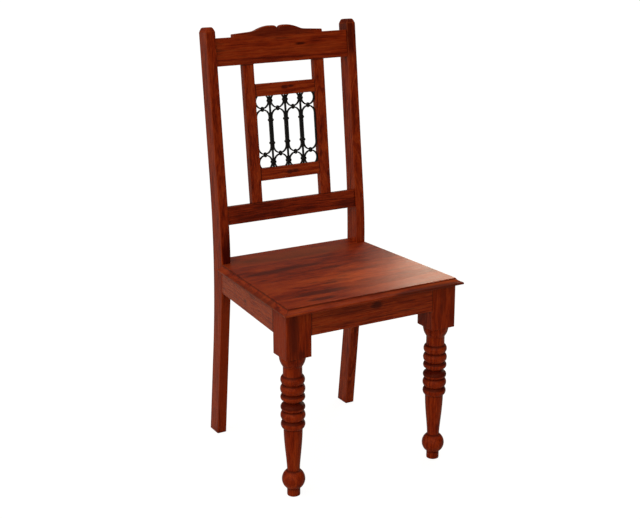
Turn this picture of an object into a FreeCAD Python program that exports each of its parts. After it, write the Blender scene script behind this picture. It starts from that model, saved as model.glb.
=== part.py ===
import FreeCAD, Part
import math
import os

# A wooden dining chair with a forged iron grille in its back.
# Millimetres. X runs across the chair, -Y is the front, +Z is up.
# Depths are counted back from the front legs' front faces, heights up from the floor.
# The back leans: its own heights are counted up the slope from the posts' front knee.

V = FreeCAD.Vector

# Seat
seat_height = 457.0
seat_thickness = 14.5
seat_side_overhang = 11.0
seat_rear_overhang = 11.8
seat_front_overhang = 16.8
seat_board_count = 5

# Moulded edge of the seat, measured inwards from its nose
mould_width = 12.8
mould_step = 1.5
mould_cove_width = 10.0
mould_cove_drop = 7.4
mould_nose_drop = 2.2
mould_nose_lip = 0.8

# Front legs: a square block over a turning
leg_half_spread = 221.4
leg_block_side = 62.0
leg_block_bottom = 336.4
bowl_radius = 30.0
neck_radius = 21.5
neck_top = 311.0
waist_height = 227.0
waist_radius = 16.8
bead_groove_radius = 22.2
bead_slope_radius = 25.4
inner_bead_offset = 11.4
inner_bead_half_height = 8.6
inner_bead_radius = 27.6
middle_bead_half_height = 11.4
middle_bead_radius = 28.0
outer_bead_half_height = 10.2
outer_bead_radius = 27.4
shaft_top_radius = 21.4
shaft_belly_radius = 20.7
shaft_middle_radius = 18.7
shaft_lower_radius = 16.1
ankle_radius = 14.4
ball_height = 39.5
ball_radius = 26.4
foot_radius = 14.9

# Back posts, sawn to a bend at the seat
post_half_spread = 199.8
post_width = 23.9
post_foot_splay = 56.5
post_foot_thickness = 43.4
knee_depth = 353.9
knee_height = 462.0
knee_thickness = 40.6
back_knee_drop = 19.0
back_lean = 6.24
post_top_thickness = 39.6
post_top = 549.8
post_chamfer_height = 10.0
post_chamfer_inset = 5.2
front_bend_radius = 950.0
back_bend_radius = 1850.0
post_edge_round = 1.5

# Aprons under the seat
apron_height = 58.0
apron_thickness = 20.0
front_apron_setback = 1.0
rear_apron_inset = 4.5

# Back panel, heights up the slope from the knee
panel_thickness = 16.0
panel_setback = 5.0
lower_rail_bottom = 87.4
lower_rail_height = 43.2
lower_cross_bottom = 182.0
cross_rail_height = 29.5
grille_opening = 170.5
crest_bottom = 459.0
stile_half_spread = 108.8
stile_width = 27.9

# Carved top of the crest rail, heights above its bottom edge
crest_end_height = 64.7
crest_carving_shift = -10.0
crest_shoulder_reach = 118.0
crest_shoulder_height = 71.4
crest_foot_reach = 70.0
crest_foot_height = 74.6
crest_hollow_reach = 59.0
crest_hollow_height = 76.9
crest_turn_reach = 50.0
crest_turn_height = 80.6
crest_lobe_reach = 38.0
crest_lobe_height = 84.2
crest_peak_reach = 23.0
crest_peak_height = 86.6
crest_brow_reach = 9.0
crest_brow_height = 85.4
crest_flank_reach = 3.4
crest_flank_height = 81.2
crest_notch_height = 73.6

# Iron grille of flat strips on edge
strip_thickness = 3.0
strip_depth = 6.0
bar_width = 3.6
cell_count = 4
strip_anchor = 3.0
cell_collar_offset = 54.3
mid_collar_offset = 27.4
collar_width = 6.0
collar_wall = 1.7
collar_face = 1.3
collar_clearance = 0.3
collar_round = 1.1

# Joinery
tenon_thickness = 8.0
tenon_shoulder = 6.0
post_tenon_length = 16.0
leg_tenon_length = 30.0
side_tenon_depth = 19.0
stile_tenon_length = 14.0
cross_tenon_length = 12.0
mortise_spare = 1.0

# Corner blocks and screws under the seat
block_height = 25.0
block_near = 96.0
block_far = 124.0
rear_block_near = 46.0
rear_block_far = 74.0
screw_radius = 2.0
screw_head_radius = 4.0
screw_head_height = 2.6
screw_bite = 12.0
seat_screw_bite = 8.0
counterbore_radius = 4.6
block_hold = 9.0

# Sizes that follow
seat_underside = seat_height - seat_thickness
apron_bottom = seat_underside - apron_height
post_inner = post_half_spread - post_width
leg_inner = leg_half_spread - leg_block_side
stile_inner = stile_half_spread - stile_width
lower_rail_top = lower_rail_bottom + lower_rail_height
opening_bottom = lower_cross_bottom + cross_rail_height
opening_top = opening_bottom + grille_opening
opening_middle = (opening_bottom + opening_top) / 2
panel_back = panel_setback + panel_thickness
panel_middle = panel_setback + panel_thickness / 2
cell_width = (2 * stile_inner - (cell_count - 1) * bar_width) / cell_count
cell_pitch = cell_width + bar_width
arc_radius = (cell_width - strip_thickness) / 2
circle_offset = cell_collar_offset + strip_thickness / 2 + arc_radius
middle_bead_offset = inner_bead_offset + inner_bead_half_height + middle_bead_half_height
outer_bead_offset = middle_bead_offset + middle_bead_half_height + outer_bead_half_height
shaft_top = waist_height - outer_bead_offset - outer_bead_half_height
foot_front_depth = knee_depth + post_foot_splay
foot_back_depth = foot_front_depth + post_foot_thickness
side_inward = (leg_half_spread - post_half_spread) / (knee_depth - leg_block_side)
seat_front_half_width = leg_half_spread + seat_side_overhang
seat_rear_half_width = post_half_spread + seat_rear_overhang


# Placing

def lean(shape):
    """Stand a shape, drawn upright with its front at the post front, on the leaning back."""
    leaned = shape.copy()
    leaned.rotate(V(0, 0, 0), V(1, 0, 0), -back_lean)
    leaned.translate(V(0, knee_depth, knee_height))
    return leaned


def post_crown_depth():
    """Depth of the rearmost point at the top of the posts."""
    corner = lean(Part.Vertex(0, post_top_thickness, post_top - post_chamfer_height))
    return corner.Point.y


rearmost = max(foot_back_depth, post_crown_depth())
frame_shift = V(0, -(rearmost - seat_front_overhang) / 2, 0)


def export(name, shape):
    """Write one sub-part, moved so that the origin lies under the middle of the chair."""
    placed = shape.copy()
    placed.translate(frame_shift)
    placed.exportStep(f"parts/{name}.step")


def box(x, y, z):
    """A box from three (low, high) pairs."""
    return Part.makeBox(x[1] - x[0], y[1] - y[0], z[1] - z[0], V(x[0], y[0], z[0]))


def mirror(shape):
    """The same shape on the other side of the chair."""
    return shape.mirror(V(0, 0, 0), V(1, 0, 0))


def prism(points, along):
    """A flat outline of points, drawn out along a vector."""
    return Part.Face(Part.makePolygon(points + points[:1])).extrude(along)


def line(a, b):
    return Part.LineSegment(a, b).toShape()


def arc(a, b, c):
    return Part.Arc(a, b, c).toShape()


# Back posts

def bent_edge(foot, knee, top, radius):
    """Line, arc and line in the side view, tangent to each other."""
    below = (knee - foot).normalize()
    above = (top - knee).normalize()
    half_turn = below.getAngle(above) / 2
    tangent = radius * math.tan(half_turn)
    start = knee - below * tangent
    end = knee + above * tangent
    towards_centre = (above - below).normalize()
    middle = knee + towards_centre * (radius / math.cos(half_turn) - radius)
    return [line(foot, start), arc(start, middle, end), line(end, top)]


def post_slab(outer, inner):
    """The posts' side view drawn out from one x to another."""
    top_front = lean(Part.Vertex(0, 0, post_top)).Point
    top_back = lean(Part.Vertex(0, post_top_thickness, post_top)).Point
    foot_front = V(0, foot_front_depth, 0)
    foot_back = V(0, foot_back_depth, 0)
    front_knee = V(0, knee_depth, knee_height)
    back_knee = front_knee + V(0, knee_thickness, -back_knee_drop)
    edges = bent_edge(foot_front, front_knee, top_front, front_bend_radius)
    edges += bent_edge(foot_back, back_knee, top_back, back_bend_radius)
    edges += [line(top_front, top_back), line(foot_front, foot_back)]
    outline = Part.Wire(Part.__sortEdges__(edges))
    slab = Part.Face(outline).extrude(V(inner - outer, 0, 0))
    slab.translate(V(outer, 0, 0))
    return slab


def post_blank():
    """The left post before its mortises and its rounded edges."""
    return post_slab(-post_half_spread, -post_inner)


def post_span(low, high):
    """Depths of the post's front and back faces between two heights."""
    probe = box((-post_half_spread, -post_inner), (0, 2 * rearmost), (low, high))
    slice_box = post_blank().common(probe).BoundBox
    return slice_box.YMin, slice_box.YMax


def post_crown_cutters():
    """Four wedges that chamfer the top of the left post."""
    rise = post_chamfer_height
    inset = post_chamfer_inset
    across = V(post_width, 0, 0)
    through = V(0, 2 * post_top_thickness, 0)
    low = post_top - 2 * rise
    high = post_top + rise

    def wedge(start, inward, along):
        """Cuts through the point inset from an edge at the top and the edge itself below it."""
        corners = [start - inward * inset, start - inward * inset, start + inward * 2 * inset]
        heights = (low, high, high)
        points = [corner + V(0, 0, height) for corner, height in zip(corners, heights)]
        return lean(prism(points, along))
    front_outer = V(-post_half_spread, 0, 0)
    back_outer = V(-post_half_spread, post_top_thickness, 0)
    side_outer = V(-post_half_spread, -post_top_thickness / 2, 0)
    side_inner = V(-post_inner, -post_top_thickness / 2, 0)
    return [
        wedge(front_outer, V(0, 1, 0), across),
        wedge(back_outer, V(0, -1, 0), across),
        wedge(side_outer, V(1, 0, 0), through),
        wedge(side_inner, V(-1, 0, 0), through),
    ]


def rounded_post():
    """The left post with its long edges eased and its top chamfered."""
    blank = post_blank()
    long_edges = []
    for edge in blank.Edges:
        span = edge.BoundBox
        if span.XLength < 0.01 and span.ZLength > post_width * 2:
            long_edges.append(edge)
    post = blank.makeFillet(post_edge_round, long_edges)
    for cutter in post_crown_cutters():
        post = post.cut(cutter)
    return post


# Front legs

def bead(centre, half_height, radius, slope_side=0):
    """A turned ring: groove, crown, groove. On slope_side its edge runs down to the waist."""
    upper = V(bead_groove_radius, 0, centre + half_height)
    crown = V(radius, 0, centre)
    lower = V(bead_groove_radius, 0, centre - half_height)
    if slope_side > 0:
        upper = V(bead_slope_radius, 0, centre + half_height * 0.62)
    if slope_side < 0:
        lower = V(bead_slope_radius, 0, centre - half_height * 0.62)
    return upper, crown, lower


def leg_profile():
    """Half outline of the turning, from the block down to the floor."""
    beads = [
        bead(waist_height + outer_bead_offset, outer_bead_half_height, outer_bead_radius),
        bead(waist_height + middle_bead_offset, middle_bead_half_height, middle_bead_radius),
        bead(waist_height + inner_bead_offset, inner_bead_half_height, inner_bead_radius, -1),
        bead(waist_height - inner_bead_offset, inner_bead_half_height, inner_bead_radius, 1),
        bead(waist_height - middle_bead_offset, middle_bead_half_height, middle_bead_radius),
        bead(waist_height - outer_bead_offset, outer_bead_half_height, outer_bead_radius),
    ]
    bowl_drop = leg_block_bottom - neck_top
    bowl_top = V(bowl_radius, 0, leg_block_bottom)
    bowl_side = V(bowl_radius * 0.92, 0, leg_block_bottom - bowl_drop * 0.55)
    neck_start = V(neck_radius, 0, neck_top)
    neck_end = V(neck_radius, 0, beads[0][0].z)
    waist = V(waist_radius, 0, waist_height)
    edges = [arc(bowl_top, bowl_side, neck_start), line(neck_start, neck_end)]
    here = neck_end
    for upper, crown, lower in beads:
        if upper.distanceToPoint(here) > 0.001:
            if here.z > waist_height > upper.z:
                edges.append(line(here, waist))
                here = waist
            edges.append(line(here, upper))
        edges.append(arc(upper, crown, lower))
        here = lower
    ball_reach = math.sqrt(ball_radius**2 - ankle_radius**2)
    foot_reach = math.sqrt(ball_radius**2 - foot_radius**2)
    ankle = V(ankle_radius, 0, ball_height + ball_reach)
    shaft_start = V(shaft_top_radius, 0, shaft_top)
    shaft_drop = shaft_top - ankle.z
    shaft = Part.BSplineCurve()
    shaft.interpolate([
        shaft_start,
        V(shaft_belly_radius, 0, shaft_top - shaft_drop * 0.22),
        V(shaft_middle_radius, 0, shaft_top - shaft_drop * 0.48),
        V(shaft_lower_radius, 0, shaft_top - shaft_drop * 0.74),
        ankle,
    ])
    foot_top = V(foot_radius, 0, ball_height - foot_reach)
    foot_bottom = V(foot_radius, 0, 0)
    edges += [
        line(here, shaft_start),
        shaft.toShape(),
        arc(ankle, V(ball_radius, 0, ball_height), foot_top),
        line(foot_top, foot_bottom),
        line(foot_bottom, V(0, 0, 0)),
        line(V(0, 0, 0), V(0, 0, leg_block_bottom)),
        line(V(0, 0, leg_block_bottom), bowl_top),
    ]
    return Part.Wire(Part.__sortEdges__(edges))


def leg_blank():
    """The left front leg before its mortises."""
    turning = Part.Face(leg_profile()).revolve(V(0, 0, 0), V(0, 0, 1), 360)
    turning.translate(V(-leg_half_spread + leg_block_side / 2, leg_block_side / 2, 0))
    block = box((-leg_half_spread, -leg_inner), (0, leg_block_side), (leg_block_bottom, seat_underside))
    return block.fuse(turning).removeSplitter()


# Aprons and their tenons

def tenon_heights():
    return apron_bottom + tenon_shoulder, seat_underside - 2 * tenon_shoulder


def front_apron_parts(spare):
    """Board between the legs, and the tenon bar that runs on into both of them."""
    front = front_apron_setback
    back = front + apron_thickness
    board = box((-leg_inner, leg_inner), (front, back), (apron_bottom, seat_underside))
    middle = (front + back) / 2
    reach = leg_inner + leg_tenon_length + spare
    cheeks = (middle - tenon_thickness / 2, middle + tenon_thickness / 2)
    return board, box((-reach, reach), cheeks, tenon_heights())


def rear_apron_span():
    """Depths of the rear apron's faces, inset from the backs of the posts."""
    back = post_span(seat_underside - 1, seat_underside)[1] - rear_apron_inset
    return back - apron_thickness, back


def rear_apron_parts(spare):
    """Board between the posts, and the tenon bar that runs on into both of them."""
    span = rear_apron_span()
    board = box((-post_inner, post_inner), span, (apron_bottom, seat_underside))
    middle = sum(span) / 2
    reach = post_inner + post_tenon_length + spare
    cheeks = (middle - tenon_thickness / 2, middle + tenon_thickness / 2)
    return board, box((-reach, reach), cheeks, tenon_heights())


def slanted_bar(inset, thickness, start, end, heights):
    """A board beside the left of the seat, its outer face inset from the line of leg and post."""
    def outer(depth):
        return -leg_half_spread + side_inward * (depth - leg_block_side) + inset
    corners = [
        V(outer(start), start, heights[0]),
        V(outer(end), end, heights[0]),
        V(outer(end) + thickness, end, heights[0]),
        V(outer(start) + thickness, start, heights[0]),
    ]
    return prism(corners, V(0, 0, heights[1] - heights[0]))


def side_apron_parts(spare):
    """Left board from leg to post, and the tenon bar that runs on into both of them."""
    post_front = post_span(apron_bottom, seat_underside)[0]
    board = slanted_bar(0, apron_thickness, leg_block_side, post_front + post_top_thickness / 2,
                        (apron_bottom, seat_underside))
    board = board.cut(post_slab(-2 * leg_half_spread, 0))
    tenon = slanted_bar((apron_thickness - tenon_thickness) / 2, tenon_thickness,
                        leg_block_side - leg_tenon_length - spare,
                        post_front + side_tenon_depth + spare, tenon_heights())
    return board, tenon


# Seat

def mould_profile(place):
    """Outline of the moulded edge, where place turns (distance inwards, height) into a point."""
    arris = place(mould_width, seat_height)
    step = place(mould_width, seat_height - mould_step)
    cove_end_height = seat_height - mould_step - mould_cove_drop
    cove_end = place(mould_width - mould_cove_width, cove_end_height)
    cove_middle = place(mould_width - mould_cove_width * 0.42,
                        seat_height - mould_step - mould_cove_drop * 0.62)
    nose = place(0, cove_end_height - mould_nose_drop)
    nose_middle = place(mould_nose_lip * 0.8, cove_end_height - mould_nose_drop * 0.42)
    lip = place(0, seat_underside + mould_nose_lip)
    foot = place(mould_nose_lip, seat_underside)
    return [
        line(arris, step),
        arc(step, cove_middle, cove_end),
        arc(cove_end, nose_middle, nose),
        line(nose, lip),
        line(lip, foot),
    ]


def moulded_slab(place, far, along):
    """A slab with one moulded edge, reaching inwards to far, drawn out along a vector."""
    top_far = place(far, seat_height)
    bottom_far = place(far, seat_underside)
    edges = mould_profile(place)
    edges += [
        line(place(mould_nose_lip, seat_underside), bottom_far),
        line(bottom_far, top_far),
        line(top_far, place(mould_width, seat_height)),
    ]
    return Part.Face(Part.Wire(Part.__sortEdges__(edges))).extrude(along)


def seat_rear_depth():
    """The seat ends flush with the backs of the posts at its top."""
    return post_span(seat_height - 1, seat_height)[1]


def seat_blank():
    """The whole seat, moulded at the front and both sides, before the boards part."""
    wide = 2 * seat_front_half_width
    depth = seat_rear_depth() + seat_front_overhang
    front = moulded_slab(lambda inwards, height: V(-wide, inwards - seat_front_overhang, height),
                         depth, V(2 * wide, 0, 0))
    run = V(seat_front_half_width - seat_rear_half_width, knee_depth + seat_front_overhang, 0)
    run.normalize()
    inward = V(run.y, -run.x, 0)
    corner = V(-seat_front_half_width, -seat_front_overhang, 0)
    start = corner - run * wide
    left = moulded_slab(lambda inwards, height: start + inward * inwards + V(0, 0, height),
                        2 * wide, run * (3 * wide))
    return front.common(left).common(mirror(left))


def seat_notches():
    """Room for the posts: the seat ends at their front faces and passes between them."""
    front_face = post_span(seat_underside, seat_height)[0]
    outside = box((-2 * seat_front_half_width, -post_half_spread + post_width / 2),
                  (front_face, 2 * rearmost), (seat_underside - 1, seat_height + 1))
    post = post_blank()
    return [post, outside, mirror(post), mirror(outside)]


def seat_boards():
    """The boards, front to back, glued edge to edge with the grain across the chair."""
    blank = seat_blank()
    for notch in seat_notches():
        blank = blank.cut(notch)
    pitch = (seat_rear_depth() + seat_front_overhang) / seat_board_count
    wide = 2 * seat_front_half_width
    boards = []
    for number in range(seat_board_count):
        front = -seat_front_overhang + number * pitch
        slab = box((-wide, wide), (front, front + pitch), (seat_underside - 1, seat_height + 1))
        boards.append(blank.common(slab))
    return boards


# Back panel, drawn upright and leaned into place

def panel_bar(half_reach, heights, thickness, offset=0.0):
    """A level bar in the middle of the panel's thickness."""
    near = panel_middle - thickness / 2
    return box((offset - half_reach, offset + half_reach), (near, near + thickness), heights)


def crest_outline():
    """Carved top edge of the crest rail, left end to right end."""
    def point(reach, height, side):
        return V(crest_carving_shift + side * reach, panel_setback, crest_bottom + height)

    def half(side):
        end = V(side * post_inner, panel_setback, crest_bottom + crest_end_height)
        step_foot = point(crest_shoulder_reach, crest_end_height, side)
        shoulder = point(crest_shoulder_reach, crest_shoulder_height, side)
        foot = point(crest_foot_reach, crest_foot_height, side)
        hollow = point(crest_hollow_reach, crest_hollow_height, side)
        turn = point(crest_turn_reach, crest_turn_height, side)
        lobe = point(crest_lobe_reach, crest_lobe_height, side)
        peak = point(crest_peak_reach, crest_peak_height, side)
        brow = point(crest_brow_reach, crest_brow_height, side)
        flank = point(crest_flank_reach, crest_flank_height, side)
        notch = point(0, crest_notch_height, side)
        crown = Part.BSplineCurve()
        crown.interpolate([turn, lobe, peak, brow, flank, notch])
        return [
            line(end, step_foot),
            line(step_foot, shoulder),
            line(shoulder, foot),
            arc(foot, hollow, turn),
            crown.toShape(),
        ]
    return half(-1) + half(1)


def crest_blank():
    """The crest rail between the posts, without its tenons."""
    left_top = V(-post_inner, panel_setback, crest_bottom + crest_end_height)
    right_top = V(post_inner, panel_setback, crest_bottom + crest_end_height)
    left_bottom = V(-post_inner, panel_setback, crest_bottom)
    right_bottom = V(post_inner, panel_setback, crest_bottom)
    edges = crest_outline()
    edges += [line(left_top, left_bottom), line(left_bottom, right_bottom), line(right_bottom, right_top)]
    return Part.Face(Part.Wire(Part.__sortEdges__(edges))).extrude(V(0, panel_thickness, 0))


def crest_tenon(spare):
    heights = (crest_bottom + tenon_shoulder, crest_bottom + crest_end_height - tenon_shoulder)
    return panel_bar(post_inner + post_tenon_length + spare, heights, tenon_thickness)


def lower_rail_tenon(spare):
    heights = (lower_rail_bottom + tenon_shoulder, lower_rail_top - tenon_shoulder)
    return panel_bar(post_inner + post_tenon_length + spare, heights, tenon_thickness)


def stile_tenon(spare):
    """Tenon bar of the left stile, up into the crest rail and down into the lower rail."""
    heights = (lower_rail_top - stile_tenon_length - spare, crest_bottom + stile_tenon_length + spare)
    centre = -(stile_half_spread + stile_inner) / 2
    return panel_bar(stile_width / 2 - tenon_shoulder / 2, heights, tenon_thickness, centre)


def cross_tenon(bottom, spare):
    heights = (bottom + tenon_shoulder / 2, bottom + cross_rail_height - tenon_shoulder / 2)
    return panel_bar(stile_inner + cross_tenon_length + spare, heights, tenon_thickness)


# Iron grille, drawn upright with its middle at the middle of the opening

def cell_centre(number):
    return (number - (cell_count - 1) / 2) * cell_pitch


def bar_centre(number):
    return (number - (cell_count - 2) / 2) * cell_pitch


def strip_along(outline, x):
    """A solid as deep as the strips, inside a closed outline."""
    solid = Part.Face(outline).extrude(V(0, strip_depth, 0))
    solid.translate(V(x, panel_middle - strip_depth / 2, opening_middle))
    return solid


def stadium(radius, straight):
    """A closed outline of two half circles joined by straight sides."""
    top = V(0, 0, straight / 2 + radius)
    bottom = V(0, 0, -straight / 2 - radius)
    corners = [V(sx * radius, 0, sz * straight / 2) for sx, sz in ((-1, 1), (1, 1), (1, -1), (-1, -1))]
    return Part.Wire([
        arc(corners[0], top, corners[1]),
        line(corners[1], corners[2]),
        arc(corners[2], bottom, corners[3]),
        line(corners[3], corners[0]),
    ])


def grille_loop(number):
    """The tall loop of a cell."""
    straight = 2 * (cell_collar_offset - strip_thickness / 2 - arc_radius)
    half = strip_thickness / 2
    rim = strip_along(stadium(arc_radius + half, straight), cell_centre(number))
    return rim.cut(strip_along(stadium(arc_radius - half, straight), cell_centre(number)))


def grille_arc(number, side):
    """The open ring above (side 1) or below (side -1) a loop, its ends let into the cross rail."""
    end_rise = grille_opening / 2 + strip_anchor - circle_offset

    def rim(radius):
        reach = math.sqrt(radius**2 - end_rise**2)
        height = circle_offset + end_rise
        points = [V(-reach, 0, height), V(0, 0, circle_offset - radius), V(reach, 0, height)]
        return [V(p.x, 0, side * p.z) for p in points]
    outer = rim(arc_radius + strip_thickness / 2)
    inner = rim(arc_radius - strip_thickness / 2)
    edges = [arc(*outer), line(outer[2], inner[2]), arc(*inner), line(inner[0], outer[0])]
    return strip_along(Part.Wire(Part.__sortEdges__(edges)), cell_centre(number))


def grille_bar(number):
    """A straight bar between two cells, its ends let into the cross rails."""
    reach = grille_opening / 2 + strip_anchor
    middle = bar_centre(number)
    return box((middle - bar_width / 2, middle + bar_width / 2),
               (panel_middle - strip_depth / 2, panel_middle + strip_depth / 2),
               (opening_middle - reach, opening_middle + reach))


def collar(bundle, upright):
    """A rounded band hammered round a bundle of strips, its long side level or upright."""
    hole = bundle / 2 + collar_clearance
    half_depth = strip_depth / 2 + collar_face
    straight = 2 * (hole + collar_wall) - collar_width
    band = Part.Face(stadium(collar_width / 2, straight)).extrude(V(0, 2 * half_depth, 0))
    band.translate(V(0, -half_depth, 0))
    rims = [edge for edge in band.Edges if edge.BoundBox.YLength < 0.01]
    band = band.makeFillet(collar_round, rims)
    slot = box((-collar_width, collar_width), (-strip_depth / 2, strip_depth / 2), (-hole, hole))
    band = band.cut(slot)
    if not upright:
        band.rotate(V(0, 0, 0), V(0, 1, 0), 90)
    return band


def place_collar(band, x, height):
    placed = band.copy()
    placed.translate(V(x, panel_middle, opening_middle + height))
    return placed


def column_collars():
    """Collars that bind a bar to the loops and rings on its two sides."""
    band = collar(bar_width + 2 * strip_thickness, False)
    heights = (circle_offset, mid_collar_offset, -mid_collar_offset, -circle_offset)
    return [place_collar(band, bar_centre(n), height) for height in heights for n in range(cell_count - 1)]


def cell_collars():
    """Collars that bind each loop to the rings above and below it."""
    band = collar(2 * strip_thickness, True)
    heights = (cell_collar_offset, -cell_collar_offset)
    return [place_collar(band, cell_centre(n), height) for height in heights for n in range(cell_count)]


# Corner blocks and screws

def side_inner_face(depth):
    """Inner face of the left side apron at a depth."""
    return -leg_half_spread + side_inward * (depth - leg_block_side) + apron_thickness


def corner_block(row):
    """Left corner block, front or rear, running across the corner between two aprons."""
    sink = apron_thickness / 4
    if row == "front":
        wall = front_apron_setback + apron_thickness
        turn = 1
        near = block_near
        far = block_far
    else:
        wall = rear_apron_span()[0]
        turn = -1
        near = rear_block_near
        far = rear_block_far
    corner = side_inner_face(wall)
    near_depth = wall + turn * near
    far_depth = wall + turn * far
    points = [
        V(corner + near, wall - turn * sink, 0),
        V(side_inner_face(near_depth) - sink, near_depth, 0),
        V(side_inner_face(far_depth) - sink, far_depth, 0),
        V(corner + far, wall - turn * sink, 0),
    ]
    for point in points:
        point.z = seat_underside - block_height
    block = prism(points, V(0, 0, block_height))
    side_board = slanted_bar(0, apron_thickness, 0, rearmost, (apron_bottom, seat_underside))
    end_board = front_apron_parts(0)[0] if row == "front" else rear_apron_parts(0)[0]
    return block.cut(side_board).cut(end_board), corner, wall, turn, near, far


def screw(head, direction, length):
    """A countersunk wood screw from the middle of its head along a direction."""
    shank = Part.makeCylinder(screw_radius, length, head, direction)
    cone = Part.makeCone(screw_head_radius, screw_radius, screw_head_height, head, direction)
    return shank.fuse(cone).removeSplitter()


def corner_fixings(corner, wall, turn, near, far):
    """Two apron screws and one seat screw for a left corner block, with the bores over their heads."""
    level = seat_underside - block_height / 2
    along = (near + far) / 2 - block_hold / 2
    to_end = V(corner + along, wall + turn * block_hold, level)
    end_screw = screw(to_end, V(0, -turn, 0), block_hold + screw_bite)
    side_depth = wall + turn * along
    to_side = V(side_inner_face(side_depth) + block_hold, side_depth, level)
    side_screw = screw(to_side, V(-1, 0, 0), block_hold + screw_bite)
    reach = far
    bores = [
        Part.makeCylinder(counterbore_radius, reach, to_end, V(0, turn, 0)),
        Part.makeCylinder(counterbore_radius, reach, to_side, V(1, 0, 0)),
    ]
    middle = (near + far) / 4
    under = V(corner + middle, wall + turn * middle, seat_underside - block_height)
    seat_screw = screw(under, V(0, 0, 1), block_height + seat_screw_bite)
    return [end_screw, side_screw], bores, seat_screw


# Assembly

def build():
    """Every sub-part of the chair, as name and shape."""
    parts = {}
    left_and_right = (("left", lambda shape: shape), ("right", mirror))

    post = rounded_post()
    leg = leg_blank()
    for cutter in (crest_tenon(mortise_spare), lower_rail_tenon(mortise_spare)):
        post = post.cut(lean(cutter))
    post = post.cut(rear_apron_parts(mortise_spare)[1])
    post = post.cut(side_apron_parts(mortise_spare)[1])
    leg = leg.cut(front_apron_parts(mortise_spare)[1])
    leg = leg.cut(side_apron_parts(mortise_spare)[1])

    side_board, side_tenon = side_apron_parts(0)
    side_apron = side_board.fuse(side_tenon).removeSplitter()
    front_board, front_tenon = front_apron_parts(0)
    front_apron = front_board.fuse(front_tenon).removeSplitter()
    rear_board, rear_tenon = rear_apron_parts(0)
    rear_apron = rear_board.fuse(rear_tenon).removeSplitter()

    blocks = {}
    frame_screws = []
    seat_screws = []
    for row in ("front", "rear"):
        block, corner, wall, turn, near, far = corner_block(row)
        screws, bores, seat_screw = corner_fixings(corner, wall, turn, near, far)
        for cutter in screws + bores + [seat_screw]:
            block = block.cut(cutter)
        for one in screws:
            side_apron = side_apron.cut(one)
            for cutter in (one, mirror(one)):
                front_apron = front_apron.cut(cutter)
                rear_apron = rear_apron.cut(cutter)
        blocks[row] = block
        frame_screws += screws + [mirror(one) for one in screws]
        seat_screws += [seat_screw, mirror(seat_screw)]

    for side, placed in left_and_right:
        parts[f"back_post_{side}"] = placed(post)
        parts[f"front_leg_{side}"] = placed(leg)
        parts[f"side_apron_{side}"] = placed(side_apron)
        for row, block in blocks.items():
            parts[f"corner_block_{row}_{side}"] = placed(block)
    parts["front_apron"] = front_apron
    parts["rear_apron"] = rear_apron

    for number, board in enumerate(seat_boards(), start=1):
        for one in seat_screws:
            board = board.cut(one)
        parts[f"seat_board_{number}"] = board

    stile_tenons = [stile_tenon(mortise_spare), mirror(stile_tenon(mortise_spare))]
    crest = crest_blank().fuse(crest_tenon(0)).removeSplitter()
    lower_rail = panel_bar(post_inner, (lower_rail_bottom, lower_rail_top), panel_thickness)
    lower_rail = lower_rail.fuse(lower_rail_tenon(0)).removeSplitter()
    for cutter in stile_tenons:
        crest = crest.cut(cutter)
        lower_rail = lower_rail.cut(cutter)
    parts["crest_rail"] = lean(crest)
    parts["lower_back_rail"] = lean(lower_rail)

    stile = box((-stile_half_spread, -stile_inner), (panel_setback, panel_back),
                (lower_rail_top, crest_bottom))
    stile = stile.fuse(stile_tenon(0)).removeSplitter()
    for bottom in (lower_cross_bottom, opening_top):
        stile = stile.cut(cross_tenon(bottom, mortise_spare))
    for side, placed in left_and_right:
        parts[f"back_stile_{side}"] = lean(placed(stile))

    iron = {}
    bar_names = ("left", "centre", "right")
    for number in range(cell_count - 1):
        iron[f"grille_bar_{bar_names[number]}"] = grille_bar(number)
    for number in range(cell_count):
        iron[f"grille_ring_top_{number + 1}"] = grille_arc(number, 1)
        iron[f"grille_loop_{number + 1}"] = grille_loop(number)
        iron[f"grille_ring_bottom_{number + 1}"] = grille_arc(number, -1)
    for name, bottom in (("lower_cross_rail", lower_cross_bottom), ("upper_cross_rail", opening_top)):
        rail = panel_bar(stile_inner, (bottom, bottom + cross_rail_height), panel_thickness)
        rail = rail.fuse(cross_tenon(bottom, 0)).removeSplitter()
        for strip in iron.values():
            rail = rail.cut(strip)
        parts[name] = lean(rail)
    for name, strip in iron.items():
        parts[name] = lean(strip)
    parts["grille_column_collars"] = lean(Part.makeCompound(column_collars()))
    parts["grille_cell_collars"] = lean(Part.makeCompound(cell_collars()))
    parts["corner_block_screws"] = Part.makeCompound(frame_screws)
    parts["seat_screws"] = Part.makeCompound(seat_screws)
    return parts


os.makedirs("parts", exist_ok=True)
for part_name, part_shape in build().items():
    export(part_name, part_shape)
    print(part_name, len(part_shape.Solids), round(part_shape.Volume, 1), part_shape.isValid())
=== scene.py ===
import cmath
import math

import bmesh
import bpy
from mathutils import Matrix, Vector


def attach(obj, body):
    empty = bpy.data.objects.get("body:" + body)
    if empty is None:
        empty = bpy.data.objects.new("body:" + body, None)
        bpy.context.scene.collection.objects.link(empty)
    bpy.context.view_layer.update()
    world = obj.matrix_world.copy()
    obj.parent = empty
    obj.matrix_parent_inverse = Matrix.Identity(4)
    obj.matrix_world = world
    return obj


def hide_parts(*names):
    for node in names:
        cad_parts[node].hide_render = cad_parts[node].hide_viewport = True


# A wooden dining chair with an iron grille in its back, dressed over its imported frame.
# Sizes are in millimetres and follow the frame's own: depths are counted back from the
# front legs' front faces, heights up from the floor. The back panel has its own heights,
# counted up its slope from the bend of the posts, and its own depths behind the posts' fronts.

MM = 0.001
FRONT_SHIFT = 218.5

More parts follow.
